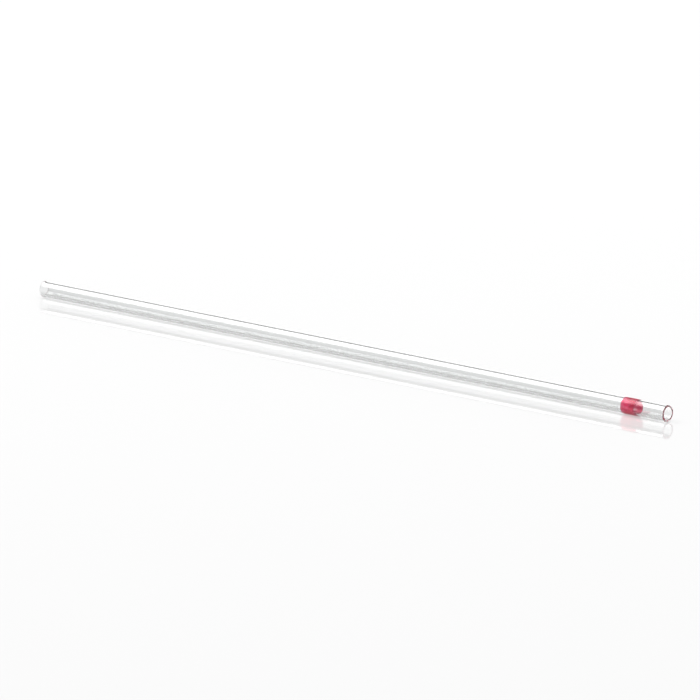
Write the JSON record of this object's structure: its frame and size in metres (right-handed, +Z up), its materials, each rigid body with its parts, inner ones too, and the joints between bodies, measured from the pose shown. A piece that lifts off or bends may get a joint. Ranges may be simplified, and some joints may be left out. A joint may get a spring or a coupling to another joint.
{
  "type": "glass capillary tube",
  "caption": "Straight, thin-walled glass capillary tube, open at both flame-polished ends, with a red colour band near one end; it draws up small liquid samples.",
  "frame": {"origin": "under the middle of the tube, on the surface that it lies on", "axes": "+X along the tube's axis towards the marked end, +Z up"},
  "size_m": [0.075, 0.0016, 0.0016],
  "materials": {
    "clear_glass": "clear drawn glass, smooth inside and out, with flame-polished lips",
    "red_enamel": "fired red colour, glossy, slightly uneven in thickness"
  },
  "bodies": {
    "root": {"glass_tube": "clear_glass", "colour_band": "red_enamel"}
  },
  "joints": []
}
